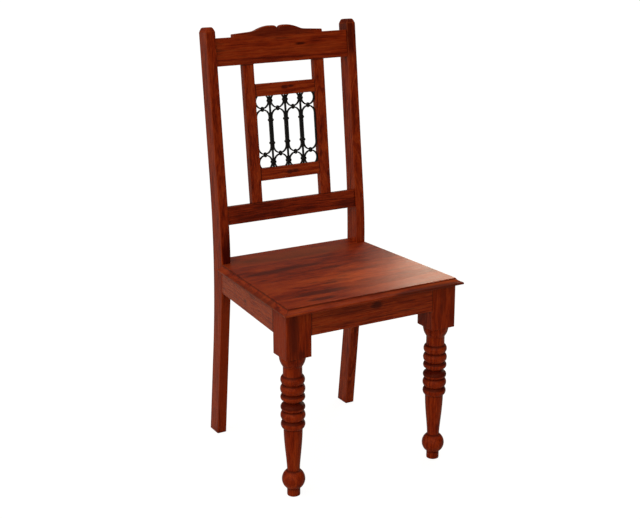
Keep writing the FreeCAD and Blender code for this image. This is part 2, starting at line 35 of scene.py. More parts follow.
# Seat
SEAT_TOP = 457.0
SEAT_THICKNESS = 14.5
SEAT_UNDER = SEAT_TOP - SEAT_THICKNESS
SEAT_FRONT_HALF = 232.4
SEAT_KNEE_HALF = 211.6
SEAT_FRONT = -16.8
SEAT_SIDE_END = 360.0
SEAT_REAR = 406.6
SEAT_BOARDS = 5
MOULD_WIDTH = 12.8
MOULD_STEP = 1.5
COVE_DROP = 8.9
NOSE_DEPTH = 2.8

# Front legs
LEG_SPREAD = 221.4
BLOCK_SIDE = 62.0
BLOCK_BOTTOM = 336.4
BOWL_RADIUS = 30.0
BOWL_BOTTOM = 311.0
NECK_RADIUS = 21.5
GROOVE_RADIUS = 22.2
SLOPE_RADIUS = 25.4
SLOPE_SHARE = 0.62
# Half height and radius of each kind of ring
OUTER_BEAD = (10.2, 27.4)
BROAD_BEAD = (11.4, 28.0)
INNER_BEAD = (8.6, 27.6)
INNER_OFFSET = 11.4
WAIST = 227.0
WAIST_RADIUS = 16.8
SHAFT_RADIUS = 21.4
BALL_HEIGHT = 39.5
BALL_RADIUS = 26.4
ANKLE_RADIUS = 14.4
FOOT_RADIUS = 14.9

# Back posts
POST_SPREAD = 199.8
POST_WIDTH = 23.9
POST_INNER = POST_SPREAD - POST_WIDTH
KNEE_DEPTH = 353.9
KNEE_HEIGHT = 462.0
KNEE_THICKNESS = 40.6
BACK_KNEE_DROP = 19.0
FOOT_FRONT = 410.4
FOOT_BACK = 453.8
FRONT_BEND = 950.0
BACK_BEND = 1850.0
LEAN = math.radians(6.24)
BACK_UP = (0, math.sin(LEAN), math.cos(LEAN))
BACK_INWARD = (0, math.cos(LEAN), -math.sin(LEAN))
POST_TOP = 549.8
POST_TOP_THICKNESS = 39.6
CHAMFER_RISE = 10.0
CHAMFER_INSET = 5.2

# Aprons
APRON_BOTTOM = 384.5
APRON_THICKNESS = 20.0
FRONT_APRON_SETBACK = 1.0
REAR_APRON_BACK = 403.1

# Back panel
PANEL_FRONT = 5.0
PANEL_BACK = 21.0
PANEL_MIDDLE = (PANEL_FRONT + PANEL_BACK) / 2
PANEL_HALF = (PANEL_BACK - PANEL_FRONT) / 2
LOWER_RAIL = (87.4, 130.6)
LOWER_CROSS = (182.0, 211.5)
UPPER_CROSS = (382.0, 411.5)
CREST_BOTTOM = 459.0
CREST_END_HEIGHT = 64.7
STILE_OUTER = 108.8
STILE_INNER = 80.9
CARVING_SHIFT = -10.0

# Grille
CELLS = 4
STRIP = 3.0
STRIP_DEPTH = 6.0
STRIP_ARRIS = 0.7
BAR_WIDTH = 3.6
ANCHOR = 3.0
GRILLE_MIDDLE = (LOWER_CROSS[1] + UPPER_CROSS[0]) / 2
GRILLE_HALF = (UPPER_CROSS[0] - LOWER_CROSS[1]) / 2
CELL_WIDTH = (2 * STILE_INNER - (CELLS - 1) * BAR_WIDTH) / CELLS
CELL_PITCH = CELL_WIDTH + BAR_WIDTH
STRIP_RADIUS = (CELL_WIDTH - STRIP) / 2
CELL_COLLAR = 54.3
MID_COLLAR = 27.4
RING_CENTRE = CELL_COLLAR + STRIP / 2 + STRIP_RADIUS

# Arrises and bends
ARRIS = 1.1
POST_ARRIS = 1.7
SHARP_BEND = math.radians(42)

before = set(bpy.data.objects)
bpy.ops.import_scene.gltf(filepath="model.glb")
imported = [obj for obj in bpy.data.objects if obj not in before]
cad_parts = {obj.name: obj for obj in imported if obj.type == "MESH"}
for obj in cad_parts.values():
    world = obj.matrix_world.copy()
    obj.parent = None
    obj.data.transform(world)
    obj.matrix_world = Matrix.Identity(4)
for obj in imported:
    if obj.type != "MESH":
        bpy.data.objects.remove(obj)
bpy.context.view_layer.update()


# Places

def spot(x, depth, height):
    """A point of the chair, in metres."""
    return Vector((x, depth - FRONT_SHIFT, height)) * MM


def back_point(depth, height):
    """Side-view point (depth, height above the floor) of a point of the leaning back."""
    return Vector((KNEE_DEPTH + height * math.sin(LEAN) + depth * math.cos(LEAN),
                   KNEE_HEIGHT + height * math.cos(LEAN) - depth * math.sin(LEAN)))


def on_back(x, depth, height):
    """A point of the leaning back panel, in metres."""
    return spot(x, *back_point(depth, height))


def placed(name, data):
    """A new object in the scene."""
    thing = bpy.data.objects.new(name, data)
    bpy.context.scene.collection.objects.link(thing)
    return thing


# Meshes made of rings. A ring is a list of (point, edge) pairs: edge is 1 on an arris,
# 0 on a flat face and -1 down in a groove, and the finishes read it. Below zero the wood
# is darkened: at joints and in grooves, and as painted shade on the upper sides of the
# turned rings and under the step and on the underside of the seat's mould.

def rounded_rectangle(half_u, half_v, radius, between=1):
    """Ring points (u, v, edge) round a rectangle, with close rows beside each arris."""
    radius = min(radius, 0.45 * half_u, 0.45 * half_v)
    points = []
    halves = ((half_u, half_v), (-half_u, half_v), (-half_u, -half_v), (half_u, -half_v))
    for quarter, (u, v) in enumerate(halves):
        centre = (u - math.copysign(radius, u), v - math.copysign(radius, v))
        for step in range(5):
            angle = math.radians(90 * quarter + 22.5 * step)
            edge = 1.0 if 0 < step < 4 else 0.75
            points.append((centre[0] + radius * math.cos(angle), centre[1] + radius * math.sin(angle), edge))
        last = points[-1]
        following = halves[(quarter + 1) % 4]
        along_u = last[1] == v and abs(last[0] - u) > abs(last[1] - v)
        span = 2 * (half_u if along_u else half_v) - 2 * radius
        near = min(1.5, 0.2 * span)
        far = min(4.5, 0.4 * span)
        offsets = [near, far]
        offsets += [far + (span - 2 * far) * (step + 1) / (between + 1) for step in range(between)]
        offsets += [span - far, span - near]
        edges = [0.35, 0.0] + [0.0] * between + [0.0, 0.35]
        for offset, edge in zip(offsets, edges):
            move = math.copysign(offset, (following[0] - u) if along_u else (following[1] - v))
            points.append((last[0] + move, last[1], edge) if along_u else (last[0], last[1] + move, edge))
    return points


def new_piece(name, bm):
    """Turn a bmesh into an object of the chair, smooth but for its sharp bends."""
    bmesh.ops.remove_doubles(bm, verts=bm.verts, dist=1e-6)
    bmesh.ops.recalc_face_normals(bm, faces=bm.faces)
    mesh = bpy.data.meshes.new(name)
    bm.to_mesh(mesh)
    bm.free()
    mesh.shade_smooth()
    mesh.set_sharp_from_angle(angle=SHARP_BEND)
    return placed(name, mesh)


def skin(rings):
    """A closed bmesh over a row of rings with equal counts of points."""
    bm = bmesh.new()
    layer = bm.verts.layers.float.new("edge")
    rows = []
    for ring in rings:
        row = []
        for point, edge in ring:
            vert = bm.verts.new(point)
            vert[layer] = edge
            row.append(vert)
        rows.append(row)
    count = len(rows[0])
    for lower, upper in zip(rows, rows[1:]):
        for index in range(count):
            after = (index + 1) % count
            bm.faces.new((lower[index], lower[after], upper[after], upper[index]))
    bm.faces.new(rows[0])
    bm.faces.new(rows[-1])
    return bm


def bar(name, start, end, across, up, half_width, half_height):
    """A straight board with eased arrises between two points, dark where its ends meet others."""
    pieces = 8
    section = rounded_rectangle(half_width, half_height, ARRIS)
    across = Vector(across)
    up = Vector(up)
    length = (end - start).length
    near = [(0.0, -1.0), (1.3 * MM / length, -0.9), (3.2 * MM / length, 0.0)]
    along = near + [(step / pieces, 0.0) for step in range(1, pieces)]
    along += [(1 - t, joint) for t, joint in reversed(near)]
    rings = []
    for t, joint in along:
        centre = start.lerp(end, t)
        rings.append([(centre + (across * u + up * v) * MM, joint or edge) for u, v, edge in section])
    return new_piece(f"board_{name}", skin(rings))


# Front legs

def arc_points(start, through, end, steps):
    """Points (radius, height) along the circle through three points."""
    start, through, end = complex(*start), complex(*through), complex(*end)
    ratio = (end - start) / (through - start)
    centre = start + (through - start) * (ratio - abs(ratio) ** 2) / (2j * ratio.imag)
    spoke = start - centre
    sweep = cmath.phase((end - centre) / spoke) % math.tau
    if cmath.phase((through - centre) / spoke) % math.tau > sweep:
        sweep -= math.tau
    arc = [centre + spoke * cmath.rect(1.0, sweep * step / steps) for step in range(steps + 1)]
    return [(point.real, point.imag) for point in arc]


def bead_rows(centre, size, painted_shade_share, slope_side=0):
    """Rows (radius, height, edge) of a turned ring, from its upper groove to its lower one.

    Painted shade lies dark on its upper side, down to the share of its height that the third
    argument gives, and, unless its lower side is a slope, it darkens into its lower groove. The
    side that faces the waist, -1 for the lower and 1 for the upper, can be a plain slope.
    """
    half_height, radius = size
    upper = (GROOVE_RADIUS, centre + half_height)
    lower = (GROOVE_RADIUS, centre - half_height)
    if slope_side > 0:
        upper = (SLOPE_RADIUS, centre + half_height * SLOPE_SHARE)
    if slope_side < 0:
        lower = (SLOPE_RADIUS, centre - half_height * SLOPE_SHARE)
    rows = []
    for r, z in arc_points(upper, (radius, centre), lower, 16):
        down = (upper[1] - z) / (upper[1] - lower[1])
        # Painted shade: dark above the given share of the height, lighter below it.
        edge = max(-1.0, min(0.35, (down - painted_shade_share) * 4.0))
        if slope_side >= 0:
            edge -= max(0.0, down - 0.9) * 12
        rows.append((r, z, edge))
    return rows


def bead_stack():
    """The six turned rings, three above the waist and three below it."""
    middle = INNER_OFFSET + INNER_BEAD[0] + BROAD_BEAD[0]
    outer = middle + BROAD_BEAD[0] + OUTER_BEAD[0]
    # Each ring's third number is the share of it, from the top down, laid dark as painted shade.
    return [
        bead_rows(WAIST + outer, OUTER_BEAD, 0.30),
        bead_rows(WAIST + middle, BROAD_BEAD, 0.28),
        bead_rows(WAIST + INNER_OFFSET, INNER_BEAD, 0.50, -1),
        bead_rows(WAIST - INNER_OFFSET, INNER_BEAD, 0.62, 1),
        bead_rows(WAIST - middle, BROAD_BEAD, 0.26),
        bead_rows(WAIST - outer, OUTER_BEAD, 0.45),
    ]


def ball_rows(top, bottom):
    """Rows (radius, height, edge) of the ball over the foot, darker towards its ends."""
    arc = arc_points((ANKLE_RADIUS, top), (BALL_RADIUS, BALL_HEIGHT), (FOOT_RADIUS, bottom), 26)
    reach = 23.5
    return [(r, z, max(-0.9, 0.25 - 2.2 * ((z - BALL_HEIGHT) / reach) ** 6)) for r, z in arc]


def leg_rows():
    """Rows (radius, height, edge) of the turning, from the block down to the floor."""
    beads = bead_stack()
    rows = [(BOWL_RADIUS, BLOCK_BOTTOM, -0.9)]
    bowl = arc_points((BOWL_RADIUS, BLOCK_BOTTOM - 0.4), (27.6, 322.4), (NECK_RADIUS, BOWL_BOTTOM), 14)
    rows += [(r, z, -0.6 if k == 0 else 0.0) for k, (r, z) in enumerate(bowl)]
    rows[-1] = (NECK_RADIUS, BOWL_BOTTOM, -0.5)
    neck_end = beads[0][0][1]
    rows += [(NECK_RADIUS, BOWL_BOTTOM - 1.4, -0.1), (NECK_RADIUS, (BOWL_BOTTOM + neck_end) / 2, 0.0),
             (NECK_RADIUS + 0.1, neck_end + 1.6, -0.3)]
    for number, bead in enumerate(beads):
        rows += bead
        if number == 2:
            waist = ((1.8, 1.6, -0.8), (0.0, 0.5, -1.0), (0.0, -0.5, -1.0), (1.8, -1.6, -0.8))
            rows += [(WAIST_RADIUS + flare, WAIST + lift, edge) for flare, lift, edge in waist]
    top = beads[-1][-1][1]
    rows += [(SHAFT_RADIUS, top - 0.8, -0.7), (SHAFT_RADIUS, top - 2.4, -0.2)]
    ankle = BALL_HEIGHT + math.sqrt(BALL_RADIUS**2 - ANKLE_RADIUS**2)
    shaft = [(0.11, 21.2), (0.22, 20.7), (0.35, 19.8), (0.48, 18.7), (0.61, 17.4), (0.74, 16.1), (0.87, 15.0),
             (0.94, 14.6)]
    rows += [(r, top + (ankle - top) * share, 0.0) for share, r in shaft]
    rows.append((ANKLE_RADIUS, ankle + 1.0, -0.5))
    foot = BALL_HEIGHT - math.sqrt(BALL_RADIUS**2 - FOOT_RADIUS**2)
    rows += ball_rows(ankle, foot)
    rows += [(FOOT_RADIUS, foot - 1.0, -0.5), (FOOT_RADIUS, 8.0, 0.0), (FOOT_RADIUS, 2.0, 0.3),
             (FOOT_RADIUS - 0.3, 0.5, 1.0), (FOOT_RADIUS - 1.0, 0.0, 0.8)]
    return rows


def front_leg(name, side):
    """A square block over a turning, in one mesh of rings from the floor up."""
    half = BLOCK_SIDE / 2
    square = rounded_rectangle(half, half, ARRIS, between=15)
    turns = [math.atan2(v, u) for u, v, _ in square]
    axis_x = side * (LEG_SPREAD - half)
    rings = []
    for r, z, edge in reversed(leg_rows()):
        rings.append([(spot(axis_x + r * math.cos(t), half + r * math.sin(t), z), edge) for t in turns])
    block = [(1.0, 0.0, 0.8), (0.3, 0.3, 1.0), (0.0, 1.0, 0.9), (0.0, 2.6, 0.35), (0.0, 6.0, 0.0),
             (0.0, 35.6, 0.0), (0.0, 71.6, 0.0), (0.0, SEAT_UNDER - BLOCK_BOTTOM, 0.0)]
    for inset, lift, edge in block:
        share = (half - inset) / half
        rings.append([(spot(axis_x + u * share, half + v * share, BLOCK_BOTTOM + lift), max(edge, own))
                      for u, v, own in square])
    return new_piece(name, skin(rings))


# Back posts

def bend(foot, knee, lean_top, radius):
    """A function that gives the depth of a sawn face at a height: line, arc, line."""
    below = (knee - foot).normalized()
    above = (lean_top - knee).normalized()
    half_turn = below.angle(above) / 2
    tangent = radius * math.tan(half_turn)
    start = knee - below * tangent
    end = knee + above * tangent
    centre = knee + (above - below).normalized() * radius / math.cos(half_turn)

    def depth(height):
        if height <= start.y:
            return foot.x + (height - foot.y) / below.y * below.x
        if height >= end.y:
            return knee.x + (height - knee.y) / above.y * above.x
        side = -1 if centre.x > knee.x else 1
        return centre.x + side * math.sqrt(radius**2 - (height - centre.y) ** 2)
    return depth


def post_ring(centre_x, near, far, inset, edge):
    """A ring round a post, between a point of its front and one of its back."""
    depth_axis = (far - near).normalized()
    middle = (near + far) / 2
    half = (far - near).length / 2 - inset
    ring = []
    for u, v, own in rounded_rectangle(POST_WIDTH / 2 - inset, half, POST_ARRIS, between=3):
        ring.append((spot(centre_x + u, *(middle + depth_axis * v)), max(own, edge)))
    return ring


def back_post(name, side):
    """A post sawn to a bend, with eased arrises and a chamfered top.

    Its rings lie level at the foot and tilt little by little, to lie square to the leaning top.
    """
    knee = Vector((KNEE_DEPTH, KNEE_HEIGHT))
    front = bend(Vector((FOOT_FRONT, 0)), knee, back_point(0, POST_TOP), FRONT_BEND)
    back = bend(Vector((FOOT_BACK, 0)), knee + Vector((KNEE_THICKNESS, -BACK_KNEE_DROP)),
                back_point(POST_TOP_THICKNESS, POST_TOP), BACK_BEND)
    centre_x = side * (POST_SPREAD - POST_WIDTH / 2)
    tilt_start, tilt_run = 150.0, 500.0
    spacing = 20
    chamfer = POST_TOP - CHAMFER_RISE
    last = int(back_point(0, chamfer).y) - spacing
    stations = [(0.0, 1.0), (0.4, 0.3), (1.4, 0.0), (5.0, 0.0)]
    stations += [(height, 0.0) for height in range(2 * spacing, last, spacing)]
    rings = []
    for height, inset in stations:
        turn = LEAN * min(1.0, max(0.0, (height - tilt_start) / tilt_run))
        far_height = height - math.tan(turn) * KNEE_THICKNESS
        near = Vector((front(height), height))
        far = Vector((back(far_height), far_height))
        rings.append(post_ring(centre_x, near, far, inset, 1.0 if height < 1 else 0.0))
    crown = [(-8.0, 0.0, 0.0), (-3.0, 0.0, 0.2), (-0.9, 0.0, 0.9), (0.0, 0.25, 1.0), (0.9, 0.7, 0.8)]
    slant = [(0.35, 0.30, 0.2), (0.70, 0.60, 0.2), (0.86, 0.80, 0.8), (0.95, 1.0, 1.0), (1.0, 1.35, 0.8),
             (1.0, 1.9, 0.1)]
    crown += [(rise * CHAMFER_RISE, share * CHAMFER_INSET, edge) for rise, share, edge in slant]
    for lift, inset, edge in crown:
        height = chamfer + lift
        far = back_point(POST_TOP_THICKNESS, height)
        rings.append(post_ring(centre_x, back_point(0, height), far, inset, edge))
    return new_piece(name, skin(rings))


# Crest rail

def crest_top():
    """Points (x, height, arris) along the carved top edge, from left to right."""
    half = [(0, 73.6, 1), (1.6, 77.6, 0), (3.4, 81.2, 0), (5.6, 83.6, 0), (9, 85.4, 0), (13, 86.2, 0),
            (18, 86.6, 0), (23, 86.6, 0), (30.5, 85.7, 0), (38, 84.2, 0), (44, 82.5, 0), (50, 80.6, 0),
            (54.5, 78.7, 0), (59, 76.9, 0), (64, 75.5, 0), (70, 74.6, 0), (86, 73.5, 0), (102, 72.4, 0),
            (116.6, 71.5, 0), (117.6, 71.2, 1), (118, 70.4, 1), (118.05, 65.6, 0), (118.1, 65, 0),
            (118.8, CREST_END_HEIGHT, 0), (124, CREST_END_HEIGHT, 0)]
    right = [(CARVING_SHIFT + reach, height, arris) for reach, height, arris in half]
    left = [(CARVING_SHIFT - reach, height, arris) for reach, height, arris in reversed(half[1:])]
    left_end = [(-POST_INNER + inset, CREST_END_HEIGHT, 0) for inset in (0.0, 18.0)]
    right_end = [(POST_INNER - inset, CREST_END_HEIGHT, 0) for inset in (36.0, 18.0, 0.0)]
    return left_end + left + right + right_end


def smooth_run(points, spacing):
    """More points between the given ones, on a curve through them where it bends gently."""
    out = []
    for index in range(len(points) - 1):
        a = points[max(index - 1, 0)]
        b, c = points[index], points[index + 1]
        d = points[min(index + 2, len(points) - 1)]
        steps = max(1, int((c[0] - b[0]) / spacing))
        for step in range(steps):
            t = step / steps
            height = b[1] + (c[1] - b[1]) * t
            if steps > 1 and not (b[2] or c[2]):
                slope_b = (c[1] - a[1]) / max(c[0] - a[0], 0.01)
                slope_c = (d[1] - b[1]) / max(d[0] - b[0], 0.01)
                run = c[0] - b[0]
                from_b = 2 * t**3 - 3 * t**2 + 1
                lift_b = (t**3 - 2 * t**2 + t) * run * slope_b
                lift_c = (t**3 - t**2) * run * slope_c
                height = from_b * b[1] + (1 - from_b) * c[1] + lift_b + lift_c
            out.append((b[0] + (c[0] - b[0]) * t, height, b[2] if step == 0 else 0))
    return out + [points[-1]]


def crest_rail(name):
    """A rail whose height follows the carved line, in rings from one post to the other."""
    rings = []
    for x, height, arris in smooth_run(crest_top(), 1.5):
        half = height / 2
        section = rounded_rectangle(PANEL_HALF, half, ARRIS, between=3)
        rings.append([(on_back(x, PANEL_MIDDLE + u, CREST_BOTTOM + half + v),
                       max(edge, 0.9 * arris * (v > half - 4))) for u, v, edge in section])
    return new_piece(name, skin(rings))


# Seat

def mould_rows():
    """Rows (inset from the nose, height, edge) from the seat's top over its mould to its underside."""
    width = MOULD_WIDTH
    step_foot = SEAT_TOP - MOULD_STEP
    cove_end = SEAT_TOP - COVE_DROP
    # The dark line at the foot of the step and down the top of the cove is painted shadow, and the dark
    # underside by the nose is painted shade.
    rows = [(width + 9.0, SEAT_TOP, 0.0), (width + 3.5, SEAT_TOP, 0.1), (width + 1.0, SEAT_TOP, 0.6),
            (width + 0.35, SEAT_TOP - 0.1, 0.7), (width, SEAT_TOP - 0.5, -0.6),
            (width - 0.1, step_foot, -1.0)]
    cove = arc_points((width, step_foot), (width - 4.2, SEAT_TOP - 6.1), (NOSE_DEPTH, cove_end), 9)
    rows += [(inset, height, min(0.0, -1.0 + 0.3 * k)) for k, (inset, height) in enumerate(cove)][1:]
    nose = arc_points((NOSE_DEPTH, cove_end), (0.64, cove_end - 0.92), (0.0, cove_end - 2.2), 5)
    rows += [(inset, height, 0.4) for inset, height in nose[1:]]
    rows += [(0.0, SEAT_UNDER + 1.6, 0.1), (0.0, SEAT_UNDER + 0.8, 0.2), (0.25, SEAT_UNDER + 0.25, 0.3),
             (0.8, SEAT_UNDER, -0.6), (3.0, SEAT_UNDER, -1.0), (7.0, SEAT_UNDER, -1.0)]
    return rows


def seat_mesh():
    """The whole seat: moulded round the front and both sides, notched for the posts."""
    bm = bmesh.new()
    layer = bm.verts.layers.float.new("edge")
    end_grain = bm.verts.layers.float.new("end")
    slope = (SEAT_FRONT_HALF - SEAT_KNEE_HALF) / (KNEE_DEPTH - SEAT_FRONT)
    side_scale = math.sqrt(1 + slope * slope)
    mitre = 1.6
    mitre_edge = -0.9

    def vert(x, depth, height, edge, end=0.0):
        v = bm.verts.new(spot(x, depth, height))
        v[layer] = edge
        v[end_grain] = end
        return v

    def half_width(depth, inset):
        return SEAT_FRONT_HALF - slope * (depth - SEAT_FRONT) - inset * side_scale

    rows = []
    for inset, height, edge in mould_rows():
        front = SEAT_FRONT + inset
        depths = [SEAT_SIDE_END + (front - SEAT_SIDE_END) * k / 24 for k in range(24)] + [front + mitre]
        corner = half_width(front, inset)
        inner = [-corner + mitre] + [-corner + 2 * corner * k / 30 for k in range(1, 30)] + [corner - mitre]
        mould = height < SEAT_TOP
        tip = mitre_edge if mould else edge
        row = [vert(-half_width(d, inset), d, height, edge, mould) for d in depths]
        row.append(vert(-corner, front, height, tip, mould))
        row += [vert(x, front, height, edge) for x in inner]
        row.append(vert(corner, front, height, tip, mould))
        row += [vert(half_width(d, inset), d, height, edge, mould) for d in reversed(depths)]
        rows.append(row)
    for upper, lower in zip(rows, rows[1:]):
        for k in range(len(upper) - 1):
            bm.faces.new((upper[k], upper[k + 1], lower[k + 1], lower[k]))
    tongue = [(side * POST_INNER, depth) for side, depth in (
        (1, SEAT_SIDE_END), (1, SEAT_REAR), (-1, SEAT_REAR), (-1, SEAT_SIDE_END))]
    top, under = ([vert(x, d, height, 0.0) for x, d in tongue] for height in (SEAT_TOP, SEAT_UNDER))
    bm.faces.new(rows[0] + top)
    bm.faces.new(rows[-1] + under)
    for k in range(3):
        bm.faces.new((top[k], top[k + 1], under[k + 1], under[k]))
    bm.faces.new([row[-1] for row in rows] + [under[0], top[0]])
    bm.faces.new([row[0] for row in rows] + [under[3], top[3]])
    bmesh.ops.recalc_face_normals(bm, faces=bm.faces)
    return bm


def seat_board(name, number):
    """One board of the seat, cut from the whole at its glue lines."""
    bm = seat_mesh()
    pitch = (SEAT_REAR - SEAT_FRONT) / SEAT_BOARDS
    for line, outward in ((number, -1), (number + 1, 1)):
        if 0 < line < SEAT_BOARDS:
            geometry = bm.verts[:] + bm.edges[:] + bm.faces[:]
            joint = spot(0, SEAT_FRONT + line * pitch, 0)
            bmesh.ops.bisect_plane(bm, geom=geometry, dist=1e-7, plane_co=joint, plane_no=(0, outward, 0),
                                   clear_outer=True)
            rim = [edge for edge in bm.edges if edge.is_boundary]
            bmesh.ops.contextual_create(bm, geom=rim)
    return new_piece(name, bm)


# Node trees

def operator(operation, turned=False):
    """A method of a socket that adds a Math node, for the operator or for its reflected form."""
    def method(self, other):
        first, second = (other, self) if turned else (self, other)
        return self.tree.add("ShaderNodeMath", {"operation": operation}, {0: first, 1: second})
    return method


class Socket:
    """An output of a node, usable in sums: each operator adds a Math node."""

    def __init__(self, tree, output):
        self.tree = tree
        self.output = output

    __add__ = operator("ADD")
    __radd__ = operator("ADD", True)
    __sub__ = operator("SUBTRACT")
    __rsub__ = operator("SUBTRACT", True)
    __mul__ = operator("MULTIPLY")
    __rmul__ = operator("MULTIPLY", True)
    __truediv__ = operator("DIVIDE")
    __pow__ = operator("POWER")


class Tree:
    """A node tree that is built by adding one node at a time."""

    def __init__(self, tree):
        self.tree = tree

    def add(self, kind, settings=None, inputs=None, output=0):
        """Add a node with settings, then values or links of its sockets, and return one of its outputs."""
        node = self.tree.nodes.new(kind)
        for key, value in (settings or {}).items():
            if key == "stops":
                while len(node.color_ramp.elements) < len(value):
                    node.color_ramp.elements.new(0.5)
                for element, (place, colour) in zip(node.color_ramp.elements, value):
                    element.position = place
                    element.color = (*colour, 1.0)
            else:
                setattr(node, key, value)
        for key, value in (inputs or {}).items():
            socket = node.inputs[key]
            if isinstance(value, Socket):
                self.tree.links.new(value.output, socket)
            else:
                socket.default_value = value
        return node if output is None or not node.outputs else Socket(self, node.outputs[output])

    def step(self, value, low, high):
        """A smooth step of a value, 0 at low and 1 at high."""
        return self.add("ShaderNodeMapRange", {"interpolation_type": "SMOOTHSTEP"},
                        {"Value": value, "From Min": low, "From Max": high})

    def place(self):
        """Where on the chair a point lies, in metres."""
        return self.add("ShaderNodeTexCoord", output="Object")

    def grain(self, place, turn, shift=(0.0, 0.0, 0.0)):
        """A place in millimetres, with x along the grain."""
        return self.add("ShaderNodeMapping", {}, {"Vector": place, "Location": shift, "Rotation": turn,
                                                  "Scale": (1 / MM, 1 / MM, 1 / MM)})

    def attribute(self, name):
        """A value that the vertices carry."""
        return self.add("ShaderNodeAttribute", {"attribute_name": name}, output=2)

    def vector(self, operation, first, second=(0.0, 0.0, 0.0), output=0):
        return self.add("ShaderNodeVectorMath", {"operation": operation}, {0: first, 1: second}, output)

    def noise(self, vector, scale, detail=3.0, rough=0.5):
        """Noise between about 0 and 1 over a vector that is stretched first, by one number or three."""
        scale = scale if isinstance(scale, tuple) else (scale, scale, scale)
        return self.add("ShaderNodeTexNoise", {}, {"Vector": self.vector("MULTIPLY", vector, scale),
                                                   "Scale": 1.0, "Detail": detail, "Roughness": rough})

    def blend(self, factor, first, second, kind="MIX"):
        """A mix of two colours, each a socket or three numbers."""
        first, second = (value if isinstance(value, Socket) else (*value, 1.0) for value in (first, second))
        return self.add("ShaderNodeMix", {"data_type": "RGBA", "blend_type": kind},
                        {0: factor, 6: first, 7: second}, 2)

    def bump(self, height, strength, distance):
        return self.add("ShaderNodeBump", {}, {"Strength": strength, "Distance": distance, "Height": height})

    def surface(self, **sockets):
        """A surface, with an underscore for each space in the names of its sockets."""
        inputs = {key.replace("_", " "): value for key, value in sockets.items()}
        return self.add("ShaderNodeBsdfPrincipled", {}, inputs)


def new_material(name):
    """An empty material and its tree."""
    material = bpy.data.materials.new(name)
    material.use_nodes = True
    material.node_tree.nodes.clear()
    return material, Tree(material.node_tree)


def closed(material, tree, surface):
    """End the tree of a material with its surface."""
    tree.add("ShaderNodeOutputMaterial", {}, {0: surface})
    return material


# Wood. Inside the finish, coordinates are millimetres with x along the grain.

DEEP = (0.085, 0.0050, 0.0014)
RED = (0.180, 0.0135, 0.0024)
WARM = (0.265, 0.0250, 0.0036)
AMBER = (0.350, 0.0480, 0.0080)
PURPLE = (0.072, 0.0060, 0.0030)
WORN = (0.360, 0.0600, 0.0110)
# DUSK, the darkest colour, serves dark marks, joints and grooves, and also painted shade on the turned rings'
# upper sides and under the seat's mould.
DUSK = (0.050, 0.0026, 0.0008)
# The next colour is painted light, added over the seat's figure where more light should fall.
PAINTED_LIGHT = (0.165, 0.0300, 0.0040)
TAN = (0.190, 0.0320, 0.0065)

ALONG_X = (0.0, 0.0, 0.0)
ALONG_Y = (0.0, 0.0, math.radians(90))
UPRIGHT = (0.0, math.radians(90), 0.0)


def marked(tree, place, colour, marks, waver):
    """Lay knots, streaks and patches of painted light over a colour, with edges that waver."""
    for centre, size, strength, tint in marks:
        toward = tree.vector("SUBTRACT", place, centre)
        reach = tree.vector("MULTIPLY", toward, tuple(1.0 / part for part in size))
        far = tree.vector("LENGTH", reach, output=1)
        inside = tree.step(far + waver, 1.25, 0.50)
        # A patch of painted light is added over the figure; every other mark is mixed in.
        colour = tree.blend(inside * strength, colour, tint, "ADD" if tint == PAINTED_LIGHT else "MIX")
    return colour


def end_ticks(tree, place, colour):
    """Short dark ticks and pale bands where the mould cuts across the grain."""
    end = tree.attribute("end")
    tick = tree.noise(place, (12.0, 48.0, 30.0), 3.0, 0.6)
    band = tree.noise(place, (4.0, 16.0, 30.0), 2.0)
    colour = tree.blend(end * tree.step(tick, 0.50, 0.66) * 0.65, colour, PURPLE)
    return tree.blend(end * tree.step(band, 0.45, 0.70) * 0.30, colour, AMBER)


